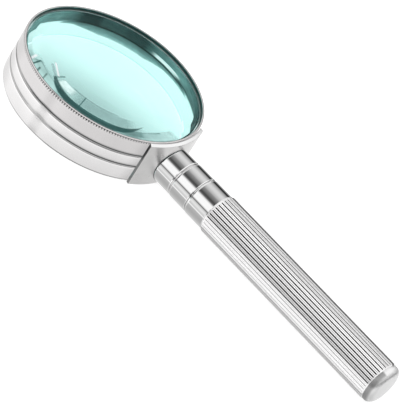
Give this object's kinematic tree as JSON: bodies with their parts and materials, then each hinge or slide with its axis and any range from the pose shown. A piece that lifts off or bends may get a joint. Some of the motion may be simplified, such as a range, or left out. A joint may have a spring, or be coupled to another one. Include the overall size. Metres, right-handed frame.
{
  "type": "double-lens hand magnifier",
  "caption": "Hand magnifier: a shallow polished metal drum holding plano-convex lenses, with a stepped neck and a screw-on fluted metal grip.",
  "frame": {"origin": "centre of the back lens's flat outer face, on the optical axis", "axes": "+Z along the optical axis towards the front lens, +X along the handle away from the drum"},
  "size_m": [0.1817, 0.07, 0.0184],
  "materials": {
    "drum_metal": "bright polished chrome plate with fine lathe lines",
    "saddle_metal": "satin plated steel, lightly brushed",
    "neck_metal": "mirror polished chrome plate",
    "grip_metal": "bright fluted tube, chrome plated",
    "inner_steel": "plain turned steel",
    "spacer_metal": "dark satin inside wall",
    "lens_glass": "clear polished optical glass with a pale green-blue tint"
  },
  "bodies": {
    "head": {"drum_barrel": "drum_metal", "lens_spacer_ring": "spacer_metal", "saddle_plate": "saddle_metal", "saddle_screw_1": "inner_steel", "saddle_screw_2": "inner_steel", "saddle_screw_3": "inner_steel", "saddle_screw_4": "inner_steel", "handle_boss": "neck_metal", "handle_stud": "inner_steel"},
    "front_lens": {"front_lens": "lens_glass"},
    "front_bezel": {"front_bezel_ring": "drum_metal"},
    "back_lens": {"back_lens": "lens_glass"},
    "back_ring": {"back_retaining_ring": "drum_metal"},
    "neck_washer": {"neck_washer": "inner_steel"},
    "handle": {"neck_collar": "neck_metal", "grip_ferrule": "neck_metal", "tie_rod": "inner_steel", "grip_sleeve": "grip_metal", "rear_bush": "inner_steel"},
    "cap_washer": {"cap_washer": "inner_steel"},
    "end_cap": {"end_cap": "neck_metal"}
  },
  "joints": [
    {"name": "handle_unscrew", "type": "hinge", "parent": "head", "child": "neck_washer", "pos_m": [0.0435, 0, 0.00715], "axis": [1, 0, 0], "range_deg": [0, 1080]},
    {"name": "handle_travel", "type": "slide", "parent": "neck_washer", "child": "handle", "axis": [1, 0, 0], "range_m": [0, 0.003]},
    {"name": "front_bezel_unscrew", "type": "hinge", "parent": "head", "child": "front_lens", "pos_m": [0, 0, 0.0107], "axis": [0, 0, 1], "range_deg": [0, 720]},
    {"name": "front_bezel_travel", "type": "slide", "parent": "front_lens", "child": "front_bezel", "axis": [0, 0, 1], "range_m": [0, 0.0015]},
    {"name": "back_ring_unscrew", "type": "hinge", "parent": "head", "child": "back_lens", "pos_m": [0, 0, 0], "axis": [0, 0, -1], "range_deg": [0, 720]},
    {"name": "back_ring_travel", "type": "slide", "parent": "back_lens", "child": "back_ring", "axis": [0, 0, -1], "range_m": [0, 0.001]},
    {"name": "end_cap_unscrew", "type": "hinge", "parent": "handle", "child": "cap_washer", "pos_m": [0.1432, 0, 0.00715], "axis": [1, 0, 0], "range_deg": [0, 900]},
    {"name": "end_cap_travel", "type": "slide", "parent": "cap_washer", "child": "end_cap", "axis": [1, 0, 0], "range_m": [0, 0.002]}
  ],
  "couplings": [
    {"joint": "handle_unscrew", "follows": "handle_travel", "rad_per_m": 6283.2},
    {"joint": "front_bezel_unscrew", "follows": "front_bezel_travel", "rad_per_m": 8377.6},
    {"joint": "back_ring_unscrew", "follows": "back_ring_travel", "rad_per_m": 12566},
    {"joint": "end_cap_unscrew", "follows": "end_cap_travel", "rad_per_m": 7854}
  ]
}
